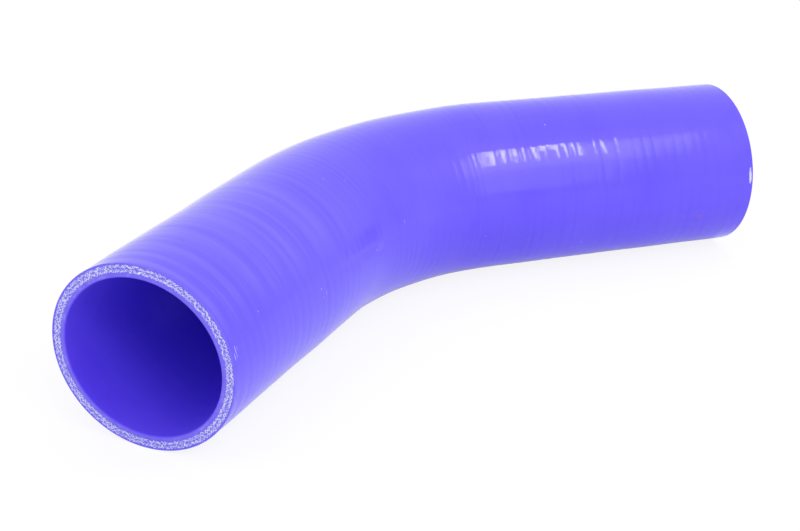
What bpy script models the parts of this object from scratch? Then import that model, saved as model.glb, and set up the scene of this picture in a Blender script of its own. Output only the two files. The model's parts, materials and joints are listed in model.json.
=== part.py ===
"""Forty-five degree silicone coolant hose coupler, lying on its side.

The hose is one cured piece: a round wall swept along a straight near leg, a bend
and a straight far leg, cut square at both mouths. The far leg's axis runs along +X
and the near leg turns away from it towards -Y. Each mouth has sagged a little under
the hose's own weight, so it is slightly wider than it is high, and the hose lies on
the floor along its whole underside. The origin is the middle of the hose's bounding
box, on the floor. Lengths are in metres and +Z is up.
"""

import math

import bmesh
import bpy
from mathutils import Vector

# Driving dimensions
BORE_DIAMETER = 0.051
WALL = 0.0045
BEND_ANGLE = math.radians(45.0)
BEND_RADIUS = 0.116
NEAR_LEG = 0.094
FAR_LEG = 0.094
NEAR_MOUTH_SAG = 0.0018
FAR_MOUTH_SAG = 0.0010
SAG_REACH = 0.120
RIM_ROUNDING = 0.0004

# Fineness of the mesh
POINTS_AROUND = 56
LEG_STEPS = 6
BEND_STEPS = 14
RIM_SEGMENTS = 2
SMOOTH_UP_TO = math.radians(35.0)

# Sizes that follow from the driving ones
OUTER_RADIUS = BORE_DIAMETER / 2 + WALL
BEND_LENGTH = BEND_RADIUS * BEND_ANGLE
RIM_ROUNDING_KEPT = min(RIM_ROUNDING, WALL / 4)

# Finish of the silicone
SILICONE_COLOUR = (0.15, 0.12, 0.93, 1.0)
SILICONE_ROUGHNESS = 0.35


def remove_everything():
    """Empty the scene that the script starts from."""
    for thing in list(bpy.data.objects):
        bpy.data.objects.remove(thing, do_unlink=True)


def stations():
    """Distances along the centreline at which the wall gets a loop of points.

    Distance 0 is where the bend meets the far leg. The bend and the near leg lie
    at negative distances.
    """
    near_mouth = -BEND_LENGTH - NEAR_LEG
    near_leg = [near_mouth + NEAR_LEG * step / LEG_STEPS for step in range(LEG_STEPS)]
    bend = [BEND_LENGTH * (step / BEND_STEPS - 1) for step in range(BEND_STEPS)]
    far_leg = [FAR_LEG * step / LEG_STEPS for step in range(LEG_STEPS + 1)]
    return near_leg + bend + far_leg


def centreline(distance):
    """Place on the centreline at a distance, and the direction to its left."""
    turn = min(max(-distance / BEND_RADIUS, 0.0), BEND_ANGLE)
    along = Vector((math.cos(turn), math.sin(turn), 0.0))
    left = Vector((-math.sin(turn), math.cos(turn), 0.0))
    bend_centre = Vector((0.0, -BEND_RADIUS, 0.0))
    place = bend_centre + BEND_RADIUS * left
    straight = max(distance, 0.0) + min(distance + BEND_LENGTH, 0.0)
    return place + straight * along, left


def faded(from_mouth):
    """Share of a mouth's sag that is left at a distance from it: 1 at the mouth."""
    return max(1.0 - from_mouth / SAG_REACH, 0.0) ** 2


def sag(distance):
    """How much lower than round the section stands at a distance."""
    from_near_mouth = distance + BEND_LENGTH + NEAR_LEG
    from_far_mouth = FAR_LEG - distance
    return NEAR_MOUTH_SAG * faded(from_near_mouth) + FAR_MOUTH_SAG * faded(from_far_mouth)


def loop_of_points(mesh, distance, radius):
    """Add one closed loop of points around the centreline.

    The outer wall's lowest point stays on the floor, at height 0, so the section
    sinks by half of its sag.
    """
    place, left = centreline(distance)
    lowered = sag(distance)
    axis_height = OUTER_RADIUS - lowered / 2
    points = []
    for step in range(POINTS_AROUND):
        angle = math.tau * step / POINTS_AROUND
        reach = radius + lowered / 2 * math.cos(2 * angle)
        height = axis_height + reach * math.sin(angle)
        point = place + reach * math.cos(angle) * left + Vector((0.0, 0.0, height))
        points.append(mesh.verts.new(point))
    return points


def skin(mesh, loops):
    """Join each loop to the next one with quads, and the last to the first."""
    for here, onward in zip(loops, loops[1:] + loops[:1]):
        for step in range(POINTS_AROUND):
            beyond = (step + 1) % POINTS_AROUND
            mesh.faces.new((here[step], here[beyond], onward[beyond], onward[step]))


def round_the_rims(mesh, rims):
    """Round the edges where both cut faces meet the wall's outside and the bore."""
    edges = []
    for rim in rims:
        for here, beyond in zip(rim, rim[1:] + rim[:1]):
            edges.append(mesh.edges.get((here, beyond)))
    bmesh.ops.bevel(mesh, geom=edges, offset=RIM_ROUNDING_KEPT, offset_type='OFFSET',
                    segments=RIM_SEGMENTS, profile=0.5, affect='EDGES')


def centre_on_the_floor(mesh):
    """Move the hose so that the middle of its bounding box is over the origin."""
    lowest = [min(point.co[axis] for point in mesh.verts) for axis in range(3)]
    highest = [max(point.co[axis] for point in mesh.verts) for axis in range(3)]
    middle = Vector(((lowest[0] + highest[0]) / 2, (lowest[1] + highest[1]) / 2, lowest[2]))
    bmesh.ops.translate(mesh, verts=mesh.verts, vec=-middle)


def silicone():
    """Glossy blue-violet silicone."""
    material = bpy.data.materials.new("blue_silicone")
    material.use_nodes = True
    shader = material.node_tree.nodes["Principled BSDF"]
    shader.inputs["Base Color"].default_value = SILICONE_COLOUR
    shader.inputs["Roughness"].default_value = SILICONE_ROUGHNESS
    shader.inputs["Metallic"].default_value = 0.0
    material.diffuse_color = SILICONE_COLOUR
    return material


def elbow_hose():
    """The whole hose: outside and bore as one closed wall."""
    mesh = bmesh.new()
    distances = stations()
    outside = [loop_of_points(mesh, distance, OUTER_RADIUS) for distance in distances]
    bore = [loop_of_points(mesh, distance, BORE_DIAMETER / 2) for distance in distances]
    skin(mesh, outside + bore[::-1])
    round_the_rims(mesh, (outside[0], outside[-1], bore[0], bore[-1]))
    bmesh.ops.recalc_face_normals(mesh, faces=mesh.faces)
    centre_on_the_floor(mesh)

    wall = bpy.data.meshes.new("elbow_hose")
    mesh.to_mesh(wall)
    mesh.free()
    wall.shade_smooth()
    wall.set_sharp_from_angle(angle=SMOOTH_UP_TO)
    wall.materials.append(silicone())
    hose = bpy.data.objects.new("elbow_hose", wall)
    bpy.context.scene.collection.objects.link(hose)
    return hose


def main():
    """Model the coupler."""
    remove_everything()
    elbow_hose()


main()
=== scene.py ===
"""Looks of a forty-five degree silicone coolant hose coupler.

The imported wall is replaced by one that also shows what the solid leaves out: the
shallow turns of the tape that held the wall while it cured, the rounded edges of the
cut, and the knitted plies that come out between cover and liner at both mouths.

Lengths are in metres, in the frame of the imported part. A place on the hose is given by
its distance along the centreline and its angle around it. Distance 0 is where the bend
meets the far leg, and the bend and the near leg lie at negative distances. The angle
runs from the outer side of the bend over the top. Inside the materials the same places
are in millimetres.
"""

from __future__ import annotations

import json
import logging
import math
from collections.abc import Callable, Iterable, Sequence
from dataclasses import dataclass, field
from enum import Enum
from functools import cached_property

import bpy
import numpy as np
from mathutils import Matrix, Vector

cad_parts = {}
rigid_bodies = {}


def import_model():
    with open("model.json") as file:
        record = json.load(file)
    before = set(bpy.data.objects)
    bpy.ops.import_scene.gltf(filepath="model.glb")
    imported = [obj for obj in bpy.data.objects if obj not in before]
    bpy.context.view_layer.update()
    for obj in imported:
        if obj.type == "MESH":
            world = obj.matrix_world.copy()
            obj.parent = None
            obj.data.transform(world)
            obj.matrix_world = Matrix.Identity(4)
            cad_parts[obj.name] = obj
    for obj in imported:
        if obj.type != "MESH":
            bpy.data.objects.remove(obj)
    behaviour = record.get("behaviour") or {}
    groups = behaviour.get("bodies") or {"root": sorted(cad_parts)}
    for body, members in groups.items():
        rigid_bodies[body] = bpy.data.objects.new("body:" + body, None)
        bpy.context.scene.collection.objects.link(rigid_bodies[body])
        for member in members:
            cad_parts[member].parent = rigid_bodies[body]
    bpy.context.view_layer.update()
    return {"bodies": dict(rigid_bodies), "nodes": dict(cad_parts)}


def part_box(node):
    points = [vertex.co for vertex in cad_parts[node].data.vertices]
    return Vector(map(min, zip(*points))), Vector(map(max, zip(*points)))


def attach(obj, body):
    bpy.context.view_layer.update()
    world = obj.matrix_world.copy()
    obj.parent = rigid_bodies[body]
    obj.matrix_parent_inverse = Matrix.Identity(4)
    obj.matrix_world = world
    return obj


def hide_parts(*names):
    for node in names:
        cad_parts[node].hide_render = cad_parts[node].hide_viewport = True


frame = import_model()

LOG = logging.getLogger("coolant_hose_coupler")
PACKED_WALL = "elbow_hose"
TO_MM = 1000.0

Colour = tuple[float, float, float]
Point = tuple[float, float, float]
Span = tuple[float, float]
RampEnds = tuple[float, float, float, float]
Numbers = np.ndarray
Material = bpy.types.Material
Piece = bpy.types.Object
Node = bpy.types.Node
Socket = bpy.types.NodeSocket
Sources = bpy.types.NodeOutputs
Inputs = dict[str | int, object]

WHITE: Colour = (1.0, 1.0, 1.0)
ALONG, SIDEWAYS, UPWARD = 0, 1, 2
FIRST_COLOUR, SECOND_COLOUR, MIXED_COLOUR = 6, 7, 2


class Zone(Enum):
    """Part of the wall's skin. The value is its material slot."""

    COVER = 0
    CUT = 1
    BORE = 2


class Mouth(Enum):
    """One end of the hose. The value is the way along the centreline that leads out."""

    NEAR = -1
    FAR = 1


def put_in_scene(name: str, made_of: bpy.types.ID) -> Piece:
    """Make an object of a mesh or a camera and link it."""
    piece = bpy.data.objects.new(name, made_of)
    bpy.context.scene.collection.objects.link(piece)
    return piece


# Shapes


@dataclass(frozen=True)
class HoseCourse:
    """Route and sizes of the hose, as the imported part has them."""

    bore_diameter: float = 0.051
    wall: float = 0.0045
    bend_angle: float = math.radians(45.0)
    bend_radius: float = 0.116
    near_leg: float = 0.094
    far_leg: float = 0.094
    near_mouth_sag: float = 0.0018
    far_mouth_sag: float = 0.0010
    sag_reach: float = 0.120
    seat_samples: tuple[int, int] = (561, 361)

    @property
    def bore_radius(self) -> float:
        """Radius of the bore."""
        return self.bore_diameter / 2

    @property
    def outer_radius(self) -> float:
        """Radius of the outside."""
        return self.bore_radius + self.wall

    def mouth(self, end: Mouth) -> float:
        """Distance of a mouth along the centreline."""
        if end is Mouth.FAR:
            return self.far_leg
        return -self.bend_radius * self.bend_angle - self.near_leg

    def sag(self, distance: Numbers) -> Numbers:
        """How much lower than round the section stands.

        Args:
            distance: Distances along the centreline.

        Returns:
            The sag at each of them.
        """
        lowered = np.zeros_like(distance)
        for end, most in ((Mouth.NEAR, self.near_mouth_sag), (Mouth.FAR, self.far_mouth_sag)):
            away = np.abs(distance - self.mouth(end)) / self.sag_reach
            lowered = lowered + most * np.clip(1.0 - away, 0.0, None) ** 2
        return lowered

    def places(self, distance: Numbers, radius: Numbers, angle: Numbers) -> Numbers:
        """Places around the centreline, in the hose's own frame.

        Args:
            distance: Distances along the centreline.
            radius: Distances from the centreline, before the sag.
            angle: Angles around the centreline.

        Returns:
            An array with x, y and z last.
        """
        distance, radius, angle = np.broadcast_arrays(distance, radius, angle)
        bend_length = self.bend_radius * self.bend_angle
        turn = np.clip(-distance / self.bend_radius, 0.0, self.bend_angle)
        straight = np.maximum(distance, 0.0) + np.minimum(distance + bend_length, 0.0)
        half_sag = self.sag(distance) / 2
        reach = radius + half_sag * np.cos(2 * angle)
        sideways = self.bend_radius + reach * np.cos(angle)
        x = straight * np.cos(turn) - sideways * np.sin(turn)
        y = straight * np.sin(turn) + sideways * np.cos(turn) - self.bend_radius
        z = self.outer_radius - half_sag + reach * np.sin(angle)
        return np.stack([x, y, z], axis=-1)

    def seat(self) -> Numbers:
        """Shift from the hose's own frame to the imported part's.

        Returns:
            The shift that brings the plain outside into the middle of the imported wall.
        """
        steps, turns = self.seat_samples
        along = np.linspace(self.mouth(Mouth.NEAR), self.mouth(Mouth.FAR), steps)
        around = np.linspace(0.0, math.tau, turns)
        outside = self.places(along[:, None], self.outer_radius, around[None, :]).reshape(-1, 3)
        lowest, highest = (np.array(corner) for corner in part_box(PACKED_WALL))
        return (lowest + highest) / 2 - (outside.min(axis=0) + outside.max(axis=0)) / 2


@dataclass(frozen=True)
class Unevenness:
    """Smooth random waves along and around the hose, mostly between -1 and 1."""

    seed: int
    shortest: float
    longest: float
    most_around: int
    count: int = 7

    def at(self, distance: Numbers, angle: Numbers) -> Numbers:
        """Height of the waves.

        Args:
            distance: Distances along the centreline.
            angle: Angles around the centreline.

        Returns:
            The height at each place.
        """
        chance = np.random.default_rng(self.seed)
        total = 0.0
        for _ in range(self.count):
            length = chance.uniform(self.shortest, self.longest)
            lobes = chance.integers(0, self.most_around + 1)
            start = chance.uniform(0.0, math.tau, 2)
            along = np.sin(math.tau * distance / length + start[0])
            total = total + along * np.cos(lobes * angle + start[1])
        return total / math.sqrt(self.count / 2)


@dataclass(frozen=True)
class TapeWrap:
    """Print of the curing tape: turns that stand a hair proud between pressed edges."""

    pitch: float = 0.0041
    pitch_spread: float = 0.22
    crown: float = 0.000050
    crown_spread: float = 0.40
    far_fading: float = 0.45
    slant: float = math.radians(2.3)
    slant_angle: float = math.radians(140.0)
    meander: float = 0.00025
    edge_width: float = 0.0004
    slow_wave: float = 0.00006
    seed: int = 11
    oversupply: float = 1.3
    spare_turns: int = 4
    weakest: float = 0.25
    most_pressed: float = 1.6
    fading_pace: float = 1.6
    patchiness: Span = (0.8, 0.3)
    meanders: Unevenness = Unevenness(12, 0.03, 0.12, 3)
    patches: Unevenness = Unevenness(14, 0.02, 0.09, 4)
    slow_waves: Unevenness = Unevenness(15, 0.025, 0.08, 2)
    lit_turns: tuple[Span, ...] = (
        (-0.0209, 1.35), (-0.0185, 1.68), (-0.0159, 0.51), (-0.0079, 1.95), (-0.0055, 0.33),
        (-0.0005, 0.10), (0.0035, 1.95), (0.0073, 1.46), (0.0111, 0.10), (0.0137, 0.54),
        (0.0184, 1.95), (0.0233, 1.50), (0.0258, 0.20), (0.0318, 1.71), (0.0345, 1.28),
        (0.0410, 0.45))
    easing: float = 0.00037
    easing_at: float = -0.0067
    easing_reach: float = 0.0104
    easing_angle: float = math.radians(140.0)

    def turns(self, first: float, last: float) -> tuple[Numbers, Numbers]:
        """Turns of the tape, one pitch or so wide.

        The highlight shows those of `lit_turns` one by one, so they are where they
        are on the hose. The others are drawn by chance.

        Args:
            first: Distance that the first turn begins before.
            last: Distance that the last turn ends beyond.

        Returns:
            The distance at which each turn begins, in order, and how proud it stands.
        """
        chance = np.random.default_rng(self.seed)
        count = int((last - first) / self.pitch * self.oversupply) + self.spare_turns
        steps = self.pitch * (1.0 + self.pitch_spread * chance.standard_normal(count))
        starts = first - self.pitch + np.cumsum(np.clip(steps, self.pitch / 2, None))
        faded = np.clip((starts - first) / (last - first) * self.fading_pace, 0.0, 1.0)
        drawn = 1.0 + self.crown_spread * chance.standard_normal(count)
        heights = (1.0 - self.far_fading * faded) * np.clip(drawn, self.weakest, None)
        lit = np.array(self.lit_turns)
        before = starts < lit[0, 0] - self.pitch / 2
        after = starts > lit[-1, 0] + self.pitch / 2
        starts = np.concatenate([starts[before], lit[:, 0], starts[after]])
        heights = np.concatenate([heights[before], lit[:, 1], heights[after]])
        kept = int(np.searchsorted(starts, last + self.pitch)) + 1
        return starts[:kept], heights[:kept]

    def relief(
        self, course: HoseCourse, distance: Numbers, angle: Numbers
    ) -> tuple[Numbers, Numbers]:
        """Height of the print over the plain outside, and where its edges press in.

        Args:
            course: The hose that the tape was wound on.
            distance: Distances along the centreline.
            angle: Angles around the centreline.

        Returns:
            The height in metres, and a mask that is 1 at a pressed edge.
        """
        lean = course.outer_radius * math.tan(self.slant)
        wander = self.meanders.at(distance, angle)
        along = distance + lean * np.cos(angle - self.slant_angle) + self.meander * wander
        starts, heights = self.turns(float(along.min()), float(along.max()))
        turn = np.clip(np.searchsorted(starts, along) - 1, 0, len(starts) - 2)
        width = starts[turn + 1] - starts[turn]
        share = (along - starts[turn]) / width
        strength = heights[turn] * width / self.pitch
        usual, uneven = self.patchiness
        fading = usual + uneven * self.patches.at(distance, angle)
        # A parabola of height 1, less its mean
        bow = 4.0 * share * (1.0 - share) - 2.0 / 3.0
        slow = self.slow_waves.at(distance, angle)
        eased = self.easing * np.exp(-(((distance - self.easing_at) / self.easing_reach) ** 2))
        eased = eased * (0.5 + 0.5 * np.cos(angle - self.easing_angle))
        height = self.crown * strength * fading * bow + self.slow_wave * slow + eased
        # Nothing reaches below the floor
        height = np.minimum(height, course.outer_radius * (1.0 + np.sin(angle)))
        to_edge = np.minimum(share, 1.0 - share) * width
        depth = np.clip(strength * fading, 0.0, self.most_pressed)
        pressed = np.exp(-((to_edge / self.edge_width) ** 2)) * depth
        return height, pressed


@dataclass(frozen=True)
class CutSection:
    """Layers that show on a cut face, and how the cut is finished."""

    plies_outer_radius: float = 0.02945
    plies_inner_radius: float = 0.0270
    cover_rounding: float = 0.0002
    bore_rounding: float = 0.0004
    pocket_depth: float = 0.0012
    pocket_edge: float = 0.00003
    arc_steps: int = 4

    def profile(self, course: HoseCourse) -> list[tuple[float, float, Zone]]:
        """Loops from the cover's rounded edge to the bore's.

        Args:
            course: The hose that is cut.

        Returns:
            Depth below the cut face, radius and zone of the skin that starts there.
        """
        rows: list[tuple[float, float, Zone]] = []
        for step in range(self.arc_steps + 1):
            turned = math.pi / 2 * step / self.arc_steps
            depth = self.cover_rounding * (1.0 - math.sin(turned))
            radius = course.outer_radius - self.cover_rounding * (1.0 - math.cos(turned))
            zone = Zone.COVER if 2 * step < self.arc_steps else Zone.CUT
            rows.append((depth, radius, zone))
        outer, inner = self.plies_outer_radius, self.plies_inner_radius
        liner = inner - course.bore_radius - self.bore_rounding
        pocket = (
            (0.0, outer + self.pocket_edge), (self.pocket_edge, outer),
            (self.pocket_depth, outer), (self.pocket_depth, inner),
            (self.pocket_edge, inner), (0.0, inner - self.pocket_edge),
            (0.0, inner - liner / 2),
        )
        rows += [(depth, radius, Zone.CUT) for depth, radius in pocket]
        for step in range(self.arc_steps + 1):
            turned = math.pi / 2 * step / self.arc_steps
            depth = self.bore_rounding * (1.0 - math.cos(turned))
            radius = course.bore_radius + self.bore_rounding * (1.0 - math.sin(turned))
            zone = Zone.CUT if 2 * step < self.arc_steps else Zone.BORE
            rows.append((depth, radius, zone))
        return rows


@dataclass
class Skin:
    """A closed skin of loops around the centreline, ready to become a mesh.

    The loops follow one another along the skin, and the last one joins the first.
    """

    course: HoseCourse
    angles: Numbers
    distance: Numbers
    radius: Numbers
    zones: list[Zone]
    plain_radius: Numbers
    masks: dict[str, Numbers] = field(default_factory=dict)

    def quads(self) -> Numbers:
        """Corner numbers of every quad, its outside up.

        Returns:
            One row of four for each quad, loop by loop.
        """
        loops, around = self.distance.shape
        here = np.arange(loops)[:, None] * around
        onward = (np.arange(loops)[:, None] + 1) % loops * around
        step = np.arange(around)[None, :]
        beyond = (step + 1) % around
        corners = (here + step, here + beyond, onward + beyond, onward + step)
        return np.stack(corners, axis=-1).reshape(-1, 4)

    def build(self, name: str, finishes: Iterable[Finish], smooth_up_to: float) -> Piece:
        """Make the mesh object with its materials, masks and straightened places.

        Args:
            name: Name of the piece.
            finishes: One for each zone in use, in the order of the slots.
            smooth_up_to: Angle between faces from which an edge stays sharp.

        Returns:
            The new object, at the origin.
        """
        points = self.course.places(self.distance, self.radius, self.angles[None, :])
        points = points.reshape(-1, 3) + self.course.seat()
        mesh = bpy.data.meshes.new(name)
        mesh.from_pydata(points.tolist(), [], self.quads().tolist())
        for finish in finishes:
            mesh.materials.append(finish.material())
        slots = np.repeat([zone.value for zone in self.zones], len(self.angles))
        mesh.polygons.foreach_set("material_index", slots.astype(np.int32))
        self.write_straight_places(mesh)
        for mask, values in self.masks.items():
            layer = mesh.attributes.new(mask, "FLOAT", "POINT")
            layer.data.foreach_set("value", values.astype(np.float32).ravel())
        mesh.shade_smooth()
        mesh.set_sharp_from_angle(angle=smooth_up_to)
        mesh.validate()
        return put_in_scene(name, mesh)

    def write_straight_places(self, mesh: bpy.types.Mesh) -> None:
        """Keep each point's place on the hose as if it were straight, in millimetres.

        Args:
            mesh: The mesh that gets the attribute.
        """
        across = self.plain_radius * np.cos(self.angles[None, :])
        upward = self.plain_radius * np.sin(self.angles[None, :])
        straight = np.stack([self.distance, across, upward], axis=-1) * TO_MM
        layer = mesh.attributes.new("straight", "FLOAT_VECTOR", "POINT")
        layer.data.foreach_set("vector", straight.astype(np.float32).ravel())


# Node trees


class NodeSheet:
    """A node tree that is filled by short calls."""

    def __init__(self, tree: bpy.types.NodeTree) -> None:
        """Work on a tree."""
        self.tree = tree

    def add(self, kind: str, inputs: Inputs | None = None, **settings: object) -> Node:
        """Add a node.

        Args:
            kind: Type of the node, without the words that all types start with.
            inputs: Values or sockets for its inputs, by name or number.
            **settings: Settings of the node itself.

        Returns:
            The node.
        """
        node = self.tree.nodes.new("ShaderNode" + kind)
        for setting, value in settings.items():
            setattr(node, setting, value)
        return self.fill(node, inputs or {})

    def fill(self, node: Node, inputs: Inputs) -> Node:
        """Give a node's inputs, by name or number, their values or sockets."""
        for key, value in inputs.items():
            self.feed(node.inputs[key], value)
        return node

    def feed(self, socket: Socket, value: object) -> None:
        """Link a socket to an input, or set its value."""
        if isinstance(value, Socket):
            self.tree.links.new(value, socket)
        elif socket.type == "RGBA" and len(value) == 3:
            socket.default_value = (*value, 1.0)
        else:
            socket.default_value = value

    def math(self, operation: str, *values: object, clamp: bool = False) -> Socket:
        """Result of a Math node on numbers or sockets."""
        node = self.add("Math", dict(enumerate(values)), operation=operation, use_clamp=clamp)
        return node.outputs[0]

    def times(self, first: object, second: object) -> Socket:
        """Product of two numbers or sockets."""
        return self.math("MULTIPLY", first, second)

    def bump(self, height: Socket, depth: float) -> Socket:
        """Normal of a relief of that depth in metres."""
        return self.add("Bump", {"Height": height, "Distance": depth}).outputs[0]

    def blend(self, share: object, first: object, second: object) -> Socket:
        """Colour between two colours."""
        wanted = {0: share, FIRST_COLOUR: first, SECOND_COLOUR: second}
        return self.add("Mix", wanted, data_type="RGBA").outputs[MIXED_COLOUR]

    def ramp(
        self, value: object, low: float, high: float, out_low: float = 0.0, out_high: float = 1.0
    ) -> Socket:
        """Value carried smoothly from one range to another and held at its ends."""
        wanted = {0: value, 1: low, 2: high, 3: out_low, 4: out_high}
        node = self.add("MapRange", wanted, interpolation_type="SMOOTHSTEP")
        return node.outputs[0]

    def noise(
        self, place: object, scale: object, detail: float = 2.0, roughness: float = 0.5
    ) -> Socket:
        """Noise between 0 and 1, with its scale in waves a millimetre."""
        wanted = {"Vector": place, "Scale": scale, "Detail": detail, "Roughness": roughness}
        return self.add("TexNoise", wanted).outputs[0]

    def held(self, name: str, output: str = "Fac") -> Socket:
        """What the mesh holds under a name, at each point."""
        return self.add("Attribute", attribute_name=name).outputs[output]

    def scaled(self, place: object, stretch: Point) -> Socket:
        """Place with each part multiplied by its own number."""
        return self.add("VectorMath", {0: place, 1: stretch}, operation="MULTIPLY").outputs[0]

    def parts(self, place: object) -> Sources:
        """The three parts of a place, one by one."""
        return self.add("SeparateXYZ", {0: place}).outputs


class Effect:
    """A shader node group, built once and placed in every material that needs it."""

    name = "Effect"
    inputs: tuple[tuple[str, str], ...] = ()
    outputs: tuple[tuple[str, str], ...] = ()

    @cached_property
    def group(self) -> bpy.types.NodeTree:
        """The group with its named sockets, made when it is first placed."""
        group = bpy.data.node_groups.new(self.name, "ShaderNodeTree")
        for way, sockets in (("INPUT", self.inputs), ("OUTPUT", self.outputs)):
            for label, kind in sockets:
                group.interface.new_socket(label, in_out=way, socket_type="NodeSocket" + kind)
        sheet = NodeSheet(group)
        given = group.nodes.new("NodeGroupInput").outputs
        results = group.nodes.new("NodeGroupOutput").inputs
        for result, drawn in zip(results, self.draw(sheet, given)):
            sheet.feed(result, drawn)
        return group

    def draw(self, sheet: NodeSheet, given: Sources) -> tuple[Socket, ...]:
        """Fill the group from its inputs to what it puts out, in order."""
        raise NotImplementedError

    def place(self, sheet: NodeSheet, **values: object) -> Sources:
        """Put the group into a material.

        Args:
            sheet: The material's nodes.
            **values: Values or sockets, by the input's name with _ for a space.

        Returns:
            What the group puts out, by name.
        """
        wanted = {label.replace("_", " "): value for label, value in values.items()}
        return sheet.add("Group", wanted, node_tree=self.group).outputs


class SiliconeTone(Effect):
    """Pigment that lies a little thicker and thinner in the silicone."""

    name = "Silicone tone"
    inputs = (
        ("Place", "Vector"), ("Colour", "Color"), ("Deep colour", "Color"),
        ("Pale colour", "Color"), ("Cloud size", "Float"))
    outputs = (("Colour", "Color"),)
    mottle_per_mm = 0.9
    deep_clouds = (0.50, 0.72)
    pale_clouds = (0.50, 0.28)
    mottling = (0.45, 0.80, 0.0, 0.25)

    def draw(self, sheet: NodeSheet, given: Sources) -> tuple[Socket, ...]:
        """Mix the three colours by broad clouds and a fine mottle."""
        waves = sheet.math("DIVIDE", 1.0, given["Cloud size"])
        clouds = sheet.noise(given["Place"], waves, detail=3.0, roughness=0.55)
        mottle = sheet.noise(given["Place"], self.mottle_per_mm, roughness=0.6)
        deep = sheet.ramp(clouds, *self.deep_clouds)
        pale = sheet.ramp(clouds, *self.pale_clouds)
        toned = sheet.blend(deep, given["Colour"], given["Deep colour"])
        toned = sheet.blend(pale, toned, given["Pale colour"])
        speckled = sheet.ramp(mottle, *self.mottling)
        return (sheet.blend(speckled, toned, given["Pale colour"]),)


class WrapLines(Effect):
    """Hairlines that run around the hose, between and along the turns of the tape."""

    name = "Wrap lines"
    inputs = (
        ("Place", "Vector"), ("Pressed edge", "Float"), ("Lines per mm", "Float"),
        ("Edge share", "Float"))
    outputs = (("Line", "Float"), ("Height", "Float"))
    stretch = (1.0, 0.045, 0.045)
    breaks_per_mm = 0.16
    hairs = (0.52, 0.74)
    hair_breaks = (0.35, 0.62)
    edge_breaks = (0.30, 0.65, 0.35, 1.0)

    def draw(self, sheet: NodeSheet, given: Sources) -> tuple[Socket, ...]:
        """Stretch a noise around the hose and join it with the pressed edges."""
        ringed = sheet.scaled(given["Place"], self.stretch)
        broken = sheet.noise(ringed, self.breaks_per_mm, roughness=0.6)
        fine = sheet.noise(ringed, given["Lines per mm"], detail=3.0, roughness=0.62)
        kept = sheet.ramp(fine, *self.hairs)
        hair = sheet.times(kept, sheet.ramp(broken, *self.hair_breaks))
        kept = sheet.ramp(broken, *self.edge_breaks)
        edge = sheet.times(given["Pressed edge"], kept)
        share = sheet.times(edge, given["Edge share"])
        rest = sheet.math("SUBTRACT", 1.0, given["Edge share"])
        line = sheet.math("ADD", share, sheet.times(hair, rest), clamp=True)
        return line, sheet.math("SUBTRACT", fine, line)


class FineGrain(Effect):
    """Soft grain that a cured or cut surface has up close."""

    name = "Fine grain"
    inputs = (("Place", "Vector"), ("Grains per mm", "Float"))
    outputs = (("Height", "Float"),)
    broad_share = 0.17

    def draw(self, sheet: NodeSheet, given: Sources) -> tuple[Socket, ...]:
        """Add a coarse and a fine noise."""
        coarse = sheet.noise(given["Place"], given["Grains per mm"], detail=3.0, roughness=0.6)
        fewer = sheet.times(given["Grains per mm"], self.broad_share)
        broad = sheet.noise(given["Place"], fewer)
        return (sheet.math("ADD", coarse, broad),)


class DustSpecks(Effect):
    """Scattered specks of pale dust."""

    name = "Dust specks"
    inputs = (
        ("Place", "Vector"), ("Specks per mm", "Float"), ("Speck size", "Float"),
        ("Rarity", "Float"))
    outputs = (("Speck", "Float"),)
    rags_per_mm = 2.2
    raggedness = (0.3, 0.7, -0.012, 0.012)

    def draw(self, sheet: NodeSheet, given: Sources) -> tuple[Socket, ...]:
        """Keep a spot at the heart of some of a Voronoi pattern's cells."""
        ragged = sheet.noise(given["Place"], self.rags_per_mm, roughness=0.6)
        cells = sheet.add("TexVoronoi", {"Vector": given["Place"], "Scale": given["Specks per mm"]})
        uneven = sheet.ramp(ragged, *self.raggedness)
        far = sheet.math("ADD", cells.outputs["Distance"], uneven)
        spot = sheet.math("LESS_THAN", far, given["Speck size"])
        chosen = sheet.add("SeparateColor", {0: cells.outputs["Color"]}).outputs[0]
        kept = sheet.math("GREATER_THAN", chosen, given["Rarity"])
        return (sheet.times(spot, kept),)


class SurfaceMark(Effect):
    """One soft-edged mark at a place on the hose."""

    name = "Surface mark"
    inputs = (
        ("Place", "Vector"), ("Centre", "Vector"), ("Length", "Float"), ("Width", "Float"))
    outputs = (("Mark", "Float"),)
    rags_per_mm = 1.6
    raggedness = (0.3, 0.7, -0.5, 0.5)
    edge = (1.1, 0.5)

    def draw(self, sheet: NodeSheet, given: Sources) -> tuple[Socket, ...]:
        """Fade a mask out by the distance from the centre, along and around the hose."""
        wanted = {0: given["Place"], 1: given["Centre"]}
        parts = sheet.parts(sheet.add("VectorMath", wanted, operation="SUBTRACT").outputs[0])
        ragged = sheet.noise(given["Place"], self.rags_per_mm, detail=3.0, roughness=0.7)
        square: object = 0.0
        for part, size in ((SIDEWAYS, "Width"), (UPWARD, "Width"), (ALONG, "Length")):
            away = sheet.math("DIVIDE", parts[part], given[size])
            square = sheet.math("MULTIPLY_ADD", away, away, square)
        uneven = sheet.math("ADD", square, sheet.ramp(ragged, *self.raggedness))
        return (sheet.ramp(uneven, *self.edge),)


TONE, LINES, GRAIN = SiliconeTone(), WrapLines(), FineGrain()
DUST, SPOT = DustSpecks(), SurfaceMark()


def blank_material(name: str) -> tuple[Material, NodeSheet, Node]:
    """Start a material.

    Args:
        name: Name of the material.

    Returns:
        The material, its nodes and its Principled shader.
    """
    material = bpy.data.materials.new(name)
    material.use_nodes = True
    sheet = NodeSheet(material.node_tree)
    shader = material.node_tree.nodes["Principled BSDF"]
    return material, sheet, shader


# Finishes


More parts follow.
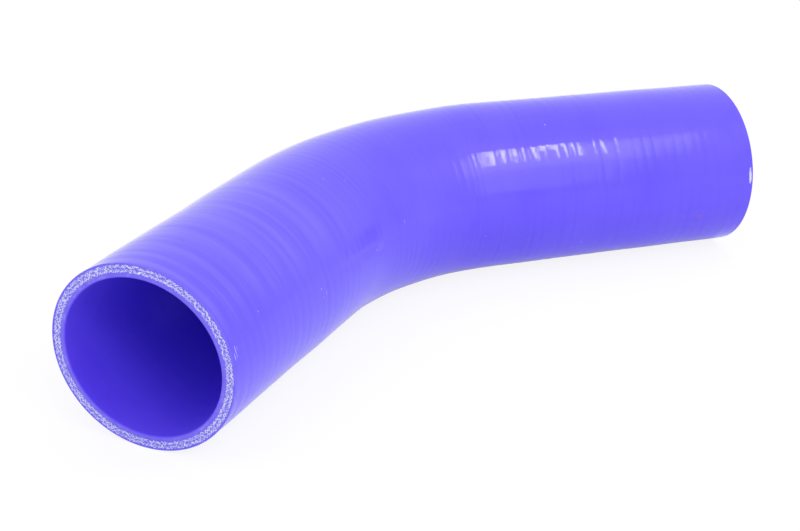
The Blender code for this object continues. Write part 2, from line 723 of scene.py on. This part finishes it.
@dataclass(frozen=True)
class Mark:
    """A scuff, a smear of dust, a stray dot of colour or a painted highlight on the cover, in
    millimetres.
    """

    distance: float
    angle: float
    length: float
    width: float
    colour: Colour
    share: float

    def centre(self, radius: float) -> Point:
        """Straightened place of the mark's middle on a cover of that radius."""
        turned = math.radians(self.angle)
        return self.distance, radius * math.cos(turned), radius * math.sin(turned)


PALE_DUST: Colour = (0.62, 0.60, 0.86)
RED_DOT: Colour = (0.45, 0.08, 0.35)
# Painted highlight: near-white colour for a glint painted on the far mouth's rim
PAINTED_RIM_GLINT: Colour = (0.72, 0.76, 1.0)

# Distance, angle, length, width and share of each scuff and speck of dust
DUSTY_PLACES = (
    (-182.6, 164.1, 0.20, 1.05, 0.60), (-183.6, 167.4, 0.20, 1.15, 0.65),
    (-182.5, 167.4, 0.18, 0.80, 0.42), (-181.6, 163.9, 0.16, 0.60, 0.25),
    (-131.2, 168.9, 0.20, 0.40, 0.60), (-128.4, 173.3, 0.20, 0.80, 0.25),
    (-130.3, 174.6, 0.26, 0.34, 0.25), (15.5, 118.8, 0.34, 0.30, 0.50),
    (-67.5, 165.4, 0.20, 0.95, 0.32), (-117.4, 83.0, 0.40, 0.45, 0.20),
    (-92.1, 172.4, 0.24, 0.60, 0.30), (-85.7, 170.7, 0.20, 0.48, 0.24),
    (-88.8, 172.0, 2.60, 1.60, 0.05), (27.7, 212.8, 0.40, 0.40, 0.20),
    (-97.2, 114.7, 0.36, 0.36, 0.18), (-88.9, 123.3, 0.36, 0.36, 0.17),
    (-166.0, 155.3, 0.40, 0.40, 0.22), (-16.3, 193.9, 0.40, 0.40, 0.20),
)

MARKS = (
    Mark(73.6, 198.6, 0.75, 0.75, RED_DOT, 0.55),
    # Painted highlight: a glint of light painted along the far mouth's rounded rim
    Mark(92.9, 171.5, 0.55, 3.10, PAINTED_RIM_GLINT, 0.85),
    *(Mark(*place_and_size, PALE_DUST, share) for *place_and_size, share in DUSTY_PLACES),
)


@dataclass(frozen=True)
class Finish:
    """Silicone in three close colours, with its gloss and a fine relief."""

    name: str
    colour: Colour
    deep_colour: Colour
    pale_colour: Colour
    cloud_size: float
    grains_per_mm: float
    roughness: float
    depth: float

    def material(self) -> Material:
        """Make the finish's material."""
        material, sheet, shader = blank_material(self.name)
        place = sheet.held("straight", "Vector")
        tone = TONE.place(
            sheet, Place=place, Colour=self.colour, Deep_colour=self.deep_colour,
            Pale_colour=self.pale_colour, Cloud_size=self.cloud_size)
        grain = GRAIN.place(sheet, Place=place, Grains_per_mm=self.grains_per_mm)
        sheet.fill(shader, self.looks(sheet, place, tone["Colour"], grain["Height"]))
        return material

    def looks(self, sheet: NodeSheet, place: Socket, colour: Socket, grain: Socket) -> Inputs:
        """What the shader gets.

        Args:
            sheet: The material's nodes.
            place: Straightened place on the hose.
            colour: Tone of the silicone there.
            grain: Height of the grain there.

        Returns:
            Values and sockets for its inputs. Finishes with more to show add to them.
        """
        return {
            "Base Color": colour, "Roughness": self.roughness,
            "Normal": sheet.bump(grain, self.depth)}


@dataclass(frozen=True)
class CoverFinish(Finish):
    """Outside of the hose: the tape's glossy print, with a satin bloom over it."""

    name: str = "blue_silicone_cover"
    colour: Colour = (0.137, 0.087, 0.955)
    deep_colour: Colour = (0.123, 0.075, 0.943)
    pale_colour: Colour = (0.151, 0.101, 0.962)
    cloud_size: float = 38.0
    grains_per_mm: float = 2.5
    roughness: float = 0.055
    depth: float = 0.000007
    roughness_spread: Span = (-0.015, 0.025)
    grain_heights: Span = (0.7, 1.3)
    line_colour: Colour = (0.098, 0.058, 0.900)
    line_share: float = 0.34
    # Painted shade and painted sheen: on the near leg's top only, the grooves are darkened and
    # broad bands along the turns are lightened
    painted_groove_shade_share: float = 0.50
    painted_sheen_colour: Colour = (0.275, 0.235, 0.972)
    painted_sheen_share: float = 0.29
    painted_sheen_per_mm: float = 0.19
    painted_sheen_stretch: Point = (1.0, 0.03, 0.03)
    painted_sheen_levels: Span = (0.36, 0.64)
    painted_light_along: Span = (-90.0, -130.0)
    painted_light_up: Span = (8.0, 22.0)
    dust_share: float = 0.22
    shine: float = 0.28
    refraction: float = 1.41
    bloom: float = 0.60
    bloom_roughness: float = 0.42
    radius: float = 30.0

    def looks(self, sheet: NodeSheet, place: Socket, colour: Socket, grain: Socket) -> Inputs:
        """Lines, dust and marks with a painted rim glint, painted sheen bands and painted groove
        shade on the near leg's top, and a bloom over an uneven gloss.
        """
        pressed = sheet.held("pressed")
        lines = LINES.place(
            sheet, Place=place, Pressed_edge=pressed, Lines_per_mm=0.95, Edge_share=0.42)
        parts = sheet.parts(place)
        # Painted light: a mask over the top of the near leg, where darker grooves and lighter sheen
        # bands are painted
        near = sheet.ramp(parts[ALONG], *self.painted_light_along)
        painted_light_mask = sheet.times(near, sheet.ramp(parts[UPWARD], *self.painted_light_up))
        share = sheet.math("MULTIPLY_ADD", painted_light_mask, self.painted_groove_shade_share, self.line_share)
        colour = sheet.blend(sheet.times(lines["Line"], share), colour, self.line_colour)
        # Painted sheen: lighter bands along the turns, only where the mask is
        sheen_noise = sheet.noise(
            sheet.scaled(place, self.painted_sheen_stretch), self.painted_sheen_per_mm, roughness=0.6)
        painted_sheen = sheet.ramp(sheen_noise, *self.painted_sheen_levels)
        share = sheet.times(painted_light_mask, self.painted_sheen_share)
        colour = sheet.blend(sheet.times(painted_sheen, share), colour, self.painted_sheen_colour)
        dust = DUST.place(
            sheet, Place=place, Specks_per_mm=0.085, Speck_size=0.022, Rarity=0.62)
        share = sheet.times(dust["Speck"], self.dust_share)
        colour = sheet.blend(share, colour, PALE_DUST)
        # Among the marks is a painted highlight on the far mouth's rim
        for mark in MARKS:
            spot = SPOT.place(
                sheet, Place=place, Centre=mark.centre(self.radius),
                Length=mark.length, Width=mark.width)
            share = sheet.times(spot["Mark"], mark.share)
            colour = sheet.blend(share, colour, mark.colour)
        least, most = (self.roughness + part for part in self.roughness_spread)
        return {
            "Base Color": colour,
            "Roughness": sheet.ramp(grain, *self.grain_heights, least, most),
            "IOR": self.refraction, "Specular IOR Level": self.shine,
            "Coat Weight": self.bloom, "Coat Roughness": self.bloom_roughness,
            "Coat IOR": self.refraction, "Normal": sheet.bump(lines["Height"], self.depth)}


@dataclass(frozen=True)
class CutFinish(Finish):
    """Cut silicone of cover and liner: the same blue, matt and a little chalky."""

    name: str = "cut_silicone"
    colour: Colour = (0.180, 0.140, 0.965)
    deep_colour: Colour = (0.160, 0.120, 0.945)
    pale_colour: Colour = (0.250, 0.215, 0.960)
    cloud_size: float = 3.0
    grains_per_mm: float = 4.0
    roughness: float = 0.58
    depth: float = 0.00003


@dataclass(frozen=True)
class PliesFinish(Finish):
    """Cut edge of the knitted plies: pale yarn in blue silicone."""

    name: str = "knitted_plies"
    colour: Colour = (0.200, 0.180, 0.930)
    deep_colour: Colour = (0.170, 0.150, 0.860)
    pale_colour: Colour = (0.200, 0.180, 0.930)
    cloud_size: float = 1.3
    grains_per_mm: float = 6.0
    roughness: float = 0.70
    depth: float = 0.00003
    yarn: Colour = (0.940, 0.930, 1.000)
    worn: RampEnds = (0.65, 1.15, 0.65, 1.0)

    def looks(self, sheet: NodeSheet, place: Socket, colour: Socket, grain: Socket) -> Inputs:
        """Silicone with the yarns, a little worn where the grain is low."""
        shown = sheet.times(sheet.held("yarn"), sheet.ramp(grain, *self.worn))
        colour = sheet.blend(shown, colour, self.yarn)
        return super().looks(sheet, place, colour, grain)


@dataclass(frozen=True)
class BoreFinish(Finish):
    """Inside of the hose: smooth satin liner, moulded on a polished mandrel."""

    name: str = "blue_silicone_bore"
    colour: Colour = (0.138, 0.074, 0.950)
    deep_colour: Colour = (0.121, 0.062, 0.930)
    pale_colour: Colour = (0.152, 0.088, 0.958)
    cloud_size: float = 30.0
    grains_per_mm: float = 1.2
    roughness: float = 0.42
    depth: float = 0.000004
    dust_share: float = 0.12

    def looks(self, sheet: NodeSheet, place: Socket, colour: Socket, grain: Socket) -> Inputs:
        """Silicone with specks of dust."""
        dust = DUST.place(
            sheet, Place=place, Specks_per_mm=0.11, Speck_size=0.028, Rarity=0.72)
        share = sheet.times(dust["Speck"], self.dust_share)
        colour = sheet.blend(share, colour, PALE_DUST)
        return super().looks(sheet, place, colour, grain)


# Sub-assemblies


@dataclass(frozen=True)
class HoseWall:
    """The cured wall from cover to bore, with a pocket for the cut plies at each mouth."""

    course: HoseCourse
    section: CutSection
    wrap: TapeWrap = TapeWrap()
    around: int = 112
    outside_loops: int = 680
    bore_loops: int = 64
    rim_fade: float = 0.0015
    smooth_up_to: float = math.radians(50.0)

    def loops(self) -> tuple[Numbers, Numbers, list[Zone]]:
        """Loops of the whole skin, from the near mouth along the outside and back.

        Returns:
            Their distances, their radii and the zone of the skin after each.
        """
        near, far = self.course.mouth(Mouth.NEAR), self.course.mouth(Mouth.FAR)
        edge, lip = self.section.cover_rounding, self.section.bore_rounding
        profile = self.section.profile(self.course)
        rows: list[tuple[float, float, Zone]] = []
        for distance in np.linspace(near + edge, far - edge, self.outside_loops)[1:-1]:
            rows.append((float(distance), self.course.outer_radius, Zone.COVER))
        rows += [(far - depth, radius, zone) for depth, radius, zone in profile]
        for distance in np.linspace(far - lip, near + lip, self.bore_loops)[1:-1]:
            rows.append((float(distance), self.course.bore_radius, Zone.BORE))
        zones = [Zone.BORE] + [zone for _, _, zone in profile[::-1]][:-1]
        rows += [(near + row[0], row[1], zone) for row, zone in zip(profile[::-1], zones)]
        rows[-1] = (*rows[-1][:2], Zone.COVER)
        distance, radius = np.array([row[:2] for row in rows]).T
        return distance, radius, [row[2] for row in rows]

    def build(self) -> Piece:
        """Make the wall, print the tape on its outside and dress it.

        Returns:
            The wall.
        """
        distance, radius, zones = self.loops()
        angles = math.tau * np.arange(self.around) / self.around
        along = np.repeat(distance[:, None], self.around, axis=1)
        height, pressed = self.wrap.relief(self.course, along, angles[None, :])
        from_mouth = np.minimum(
            self.course.mouth(Mouth.FAR) - along, along - self.course.mouth(Mouth.NEAR))
        outside = radius[:, None] >= self.course.outer_radius
        printed = np.clip(from_mouth / self.rim_fade, 0.0, 1.0) * outside
        skin = Skin(
            self.course, angles, along, radius[:, None] + height * printed, zones,
            radius[:, None], {"pressed": pressed * printed})
        finishes = (
            CoverFinish(radius=self.course.outer_radius * TO_MM), CutFinish(), BoreFinish())
        return skin.build("hose_wall", finishes, self.smooth_up_to)


@dataclass(frozen=True)
class CutPlies:
    """Ring of knitted plies in the pocket of one mouth, its cut yarns in relief."""

    course: HoseCourse
    section: CutSection
    end: Mouth
    seed: int
    plies: int = 2
    strands: int = 2
    stitch: float = 0.0021
    stitch_reach: float = 0.00047
    yarn: float = 0.00015
    yarn_steepness: float = 1.6
    mostly_shown: float = 0.85
    drift: tuple[float, int] = (0.9, 60)
    bulge: tuple[float, int] = (0.35, 90)
    shift: tuple[float, int] = (0.00010, 70)
    thickening: tuple[float, int] = (0.30, 120)
    showing: tuple[float, int] = (0.60, 140)
    fewest_lobes: int = 3
    waves: int = 12
    relief: float = 0.00007
    below_face: float = 0.00008
    thickness: float = 0.0010
    overlap: float = 0.00001
    around: int = 1080
    rows: int = 18
    smooth_up_to: float = math.radians(75.0)

    def knit(self, radius: Numbers, angles: Numbers) -> Numbers:
        """How much yarn shows at each point of the cut face.

        Args:
            radius: Radii of the rows.
            angles: Angles of the columns.

        Returns:
            0 for silicone to 1 for the middle of a yarn, one row for each radius.
        """
        chance = np.random.default_rng(self.seed)
        middle = (self.section.plies_inner_radius + self.section.plies_outer_radius) / 2
        spacing = (self.section.plies_outer_radius - self.section.plies_inner_radius) / self.plies
        shown = np.zeros((len(radius), len(angles)))
        for ply in range(self.plies):
            level = middle + (ply - (self.plies - 1) / 2) * spacing
            stitches = round(math.tau * level / self.stitch)
            start = chance.uniform(0.0, math.tau)
            for strand in range(self.strands):
                drift = self.wander(chance, angles, *self.drift)
                reach = self.stitch_reach * (1.0 + self.wander(chance, angles, *self.bulge))
                shift = self.wander(chance, angles, *self.shift)
                phase = stitches * angles + start + math.pi * strand + drift
                offset = reach * np.arcsin(np.sin(phase)) / (math.pi / 2) + shift
                steep = reach * 4.0 / self.stitch
                away = np.abs(radius[:, None] - level - offset[None, :]) / np.sqrt(1.0 + steep**2)
                thick = self.yarn * (1.0 + self.wander(chance, angles, *self.thickening))
                present = self.mostly_shown + self.wander(chance, angles, *self.showing)
                steepness = self.yarn_steepness
                yarn = np.clip(steepness - away / (thick / steepness), 0.0, 1.0)
                shown = np.maximum(shown, yarn * np.clip(present, 0.0, 1.0))
        return shown

    def wander(
        self, chance: np.random.Generator, angles: Numbers, most: float, lobes: int
    ) -> Numbers:
        """Smooth random course around the ring.

        Args:
            chance: Source of the random numbers.
            angles: Angles around the ring.
            most: How far it mostly goes to either side.
            lobes: Most waves around the ring.

        Returns:
            One value for each angle.
        """
        waves = chance.integers(self.fewest_lobes, lobes, self.waves)
        starts = chance.uniform(0.0, math.tau, self.waves)
        total = np.sin(np.outer(waves, angles) + starts[:, None]).sum(axis=0)
        return most * (total / math.sqrt(self.waves))

    def build(self) -> Piece:
        """Make the ring and dress it.

        Returns:
            The ring.
        """
        angles = math.tau * np.arange(self.around) / self.around
        inner = self.section.plies_inner_radius - self.overlap
        outer = self.section.plies_outer_radius + self.overlap
        face = np.linspace(inner, outer, self.rows)
        shown = self.knit(face, angles)
        sides = ((1, 1), (0, 0))
        depth = self.below_face - self.relief * shown
        depth = np.pad(depth, sides, constant_values=self.thickness)
        mask = np.pad(shown, sides)
        radius = np.concatenate([[inner], face, [outer]])
        distance = self.course.mouth(self.end) - self.end.value * depth
        if self.end is Mouth.FAR:
            distance, radius, mask = distance[::-1], radius[::-1], mask[::-1]
        skin = Skin(
            self.course, angles, distance, radius[:, None], [Zone.COVER] * len(radius),
            radius[:, None], {"yarn": mask})
        name = f"{self.end.name.lower()}_cut_plies"
        return skin.build(name, (PliesFinish(),), self.smooth_up_to)


# Studio


@dataclass(frozen=True)
class Viewpoint:
    """Where the camera stands and how it looks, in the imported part's frame."""

    target: Point = (-0.0175985, -0.0153706, 0.0300)
    distance: float = 0.530586
    azimuth: float = math.radians(-20.5279)
    elevation: float = math.radians(23.3762)
    roll: float = math.radians(1.3510)
    lens: float = 73.7404
    sensor: float = 36.0

    def place(self) -> None:
        """Make the camera and give it to the scene."""
        level = math.cos(self.elevation)
        forward = Vector((
            -math.sin(self.azimuth) * level, math.cos(self.azimuth) * level,
            -math.sin(self.elevation)))
        right = forward.cross(Vector((0.0, 0.0, 1.0))).normalized()
        upward = right.cross(forward)
        turned_right = math.cos(self.roll) * right + math.sin(self.roll) * upward
        turned_up = math.cos(self.roll) * upward - math.sin(self.roll) * right
        pose = Matrix((turned_right, turned_up, -forward)).transposed().to_4x4()
        pose.translation = Vector(self.target) - self.distance * forward
        lens = bpy.data.cameras.new("studio_camera")
        lens.lens = self.lens
        lens.sensor_width = self.sensor
        lens.clip_start = 0.01
        lens.clip_end = 20.0
        camera = put_in_scene("studio_camera", lens)
        camera.matrix_world = pose
        bpy.context.scene.camera = camera


def put_up(
    name: str, corners: Sequence[Point], surface: Callable[[NodeSheet], Socket]
) -> Piece:
    """Make a flat sheet for the set.

    Args:
        name: Name of the sheet and of its material.
        corners: Its corners, one after another.
        surface: Draws what the sheet shows.

    Returns:
        The sheet, its origin at the set's.
    """
    mesh = bpy.data.meshes.new(name)
    mesh.from_pydata([list(corner) for corner in corners], [], [tuple(range(len(corners)))])
    material, sheet, shader = blank_material(name)
    material.node_tree.nodes.remove(shader)
    out = material.node_tree.nodes["Material Output"]
    sheet.feed(out.inputs["Surface"], surface(sheet))
    mesh.materials.append(material)
    return put_in_scene(name, mesh)


@dataclass(frozen=True)
class LitCard:
    """A glowing card beside the set, which the camera doesn't see."""

    name: str
    corners: tuple[Point, ...]
    radiance: float
    in_gloss: bool
    in_light: bool

    def surface(self, sheet: NodeSheet) -> Socket:
        """An even glow."""
        glow = sheet.add("Emission", {"Color": WHITE, "Strength": self.radiance})
        return glow.outputs[0]

    def hang(self) -> None:
        """Put the card up where the camera can't see it."""
        card = put_up(self.name, self.corners, self.surface)
        card.visible_camera = False
        card.visible_glossy = self.in_gloss
        card.visible_diffuse = self.in_light
        card.visible_transmission = False
        card.visible_shadow = False


@dataclass(frozen=True)
class GlowPanel(LitCard):
    """An upright sheet of soft light that fades out at its edges and hides nothing.

    Below a step in height it glows less. Its far side leans outwards with height. Each
    edge's pair of values runs from where the glow is out to where it is full.
    """

    step: Span = (0.158, 0.190)
    foot: Span = (0.050, 0.075)
    head: Span = (0.500, 0.330)
    near_side: Span = (-0.050, 0.110)
    far_side: Span = (0.130, 0.084)
    lean: float = 0.55
    below_step: float = 0.48

    def surface(self, sheet: NodeSheet) -> Socket:
        """The glow, added to whatever is behind the panel."""
        parts = sheet.parts(sheet.add("TexCoord").outputs["Object"])
        along, height = parts[ALONG], parts[UPWARD]
        leant = sheet.math("SUBTRACT", along, sheet.times(height, self.lean))
        weak = self.radiance * self.below_step
        strength: object = sheet.ramp(height, *self.step, weak, self.radiance)
        edges = (
            (height, self.foot), (height, self.head),
            (leant, self.far_side), (along, self.near_side))
        for value, ends in edges:
            strength = sheet.times(strength, sheet.ramp(value, *ends))
        glow = sheet.add("Emission", {"Color": WHITE, "Strength": strength})
        clear = sheet.add("BsdfTransparent")
        return sheet.add("AddShader", {0: glow.outputs[0], 1: clear.outputs[0]}).outputs[0]


@dataclass(frozen=True)
class Studio:
    """White set: floor, even light from all round and three cards that glow."""

    floor_size: float = 8.0
    floor_grey: float = 0.80
    shadow_to_camera: float = 0.15
    shadow_in_gloss: float = 0.75
    ambient: float = 0.86
    overhead: float = 0.07
    zenith: Span = (0.4, 1.0)
    cards: tuple[LitCard, ...] = (
        LitCard(
            "lamp_card",
            ((0.210, -0.114, 0.400), (0.237, -0.114, 0.400),
             (0.288, -0.302, 0.400), (0.281, -0.302, 0.400)),
            radiance=25.0, in_gloss=True, in_light=True),
        GlowPanel(
            "glow_panel",
            ((-0.060, -0.139, 0.045), (0.410, -0.139, 0.045),
             (0.410, -0.139, 0.510), (-0.060, -0.139, 0.510)),
            radiance=3.5, in_gloss=True, in_light=False),
        LitCard(
            "key_card",
            ((-0.200, -1.300, 0.900), (0.400, -1.300, 0.900),
             (0.400, -0.800, 0.900), (-0.200, -0.800, 0.900)),
            radiance=6.0, in_gloss=False, in_light=True),
    )

    def lay_floor(self) -> None:
        """Make the floor, which shows white and keeps the hose's shadow."""
        half = self.floor_size / 2
        corners = ((-half, -half, 0.0), (half, -half, 0.0), (half, half, 0.0), (-half, half, 0.0))
        floor = put_up("studio_floor", corners, self.floor_surface)

    def floor_surface(self, sheet: NodeSheet) -> Socket:
        """White with a shadow to the camera and in gloss, plain grey to other light."""
        rays = sheet.add("LightPath").outputs
        direct = sheet.math("MAXIMUM", rays["Is Camera Ray"], rays["Is Transmission Ray"])
        seen = sheet.math("MAXIMUM", direct, rays["Is Glossy Ray"])
        shares = (self.shadow_in_gloss, self.shadow_to_camera)
        share = sheet.blend(direct, *((part,) * 3 for part in shares))
        lift = sheet.ramp(direct, 0.0, 1.0, *(1.0 - part * self.ambient for part in shares))
        plain = sheet.add("BsdfDiffuse", {"Color": (self.floor_grey,) * 3})
        shaded = sheet.add("BsdfDiffuse", {"Color": share})
        glow = sheet.add("Emission", {"Color": WHITE, "Strength": lift})
        shown = sheet.add("AddShader", {0: shaded.outputs[0], 1: glow.outputs[0]})
        mixed = sheet.add("MixShader", {0: seen, 1: plain.outputs[0], 2: shown.outputs[0]})
        return mixed.outputs[0]

    def fill_with_light(self) -> None:
        """Light the set evenly from all round, and show white behind it."""
        world = bpy.data.worlds.new("studio_light")
        world.use_nodes = True
        sheet = NodeSheet(world.node_tree)
        background = world.node_tree.nodes["Background"]
        rays = sheet.add("LightPath").outputs
        seen = sheet.math("MAXIMUM", rays["Is Camera Ray"], rays["Is Glossy Ray"])
        seen = sheet.math("MAXIMUM", seen, rays["Is Transmission Ray"])
        upward = sheet.parts(sheet.add("TexCoord").outputs["Generated"])[UPWARD]
        light = sheet.ramp(upward, *self.zenith, self.ambient, self.ambient + self.overhead)
        missing = sheet.math("SUBTRACT", 1.0, light)
        strength = sheet.math("MULTIPLY_ADD", seen, missing, light)
        sheet.feed(background.inputs["Color"], WHITE)
        sheet.feed(background.inputs["Strength"], strength)
        bpy.context.scene.world = world

    def set_up(self) -> None:
        """Put up the floor, the light and the camera."""
        self.lay_floor()
        self.fill_with_light()
        for card in self.cards:
            card.hang()
        Viewpoint().place()
        bpy.context.scene.view_settings.view_transform = "Standard"


def clear_set() -> None:
    """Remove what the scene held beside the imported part."""
    packed = set(frame["nodes"].values()) | set(frame["bodies"].values())
    for thing in list(bpy.data.objects):
        if thing not in packed:
            bpy.data.objects.remove(thing, do_unlink=True)


def report(piece: Piece) -> None:
    """Log a piece's name and its number of triangles."""
    triangles = sum(len(polygon.vertices) - 2 for polygon in piece.data.polygons)
    LOG.info("%s: %d triangles", piece.name, triangles)


def main() -> None:
    """Build the hose coupler and its set."""
    logging.basicConfig(level=logging.INFO, format="%(message)s")
    clear_set()
    Studio().set_up()
    course = HoseCourse()
    section = CutSection()
    pieces = [HoseWall(course, section).build()]
    for end, seed in ((Mouth.NEAR, 5), (Mouth.FAR, 6)):
        pieces.append(CutPlies(course, section, end, seed).build())
    for piece in pieces:
        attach(piece, "root")
        report(piece)
    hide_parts(PACKED_WALL)


if __name__ == "__main__":
    main()
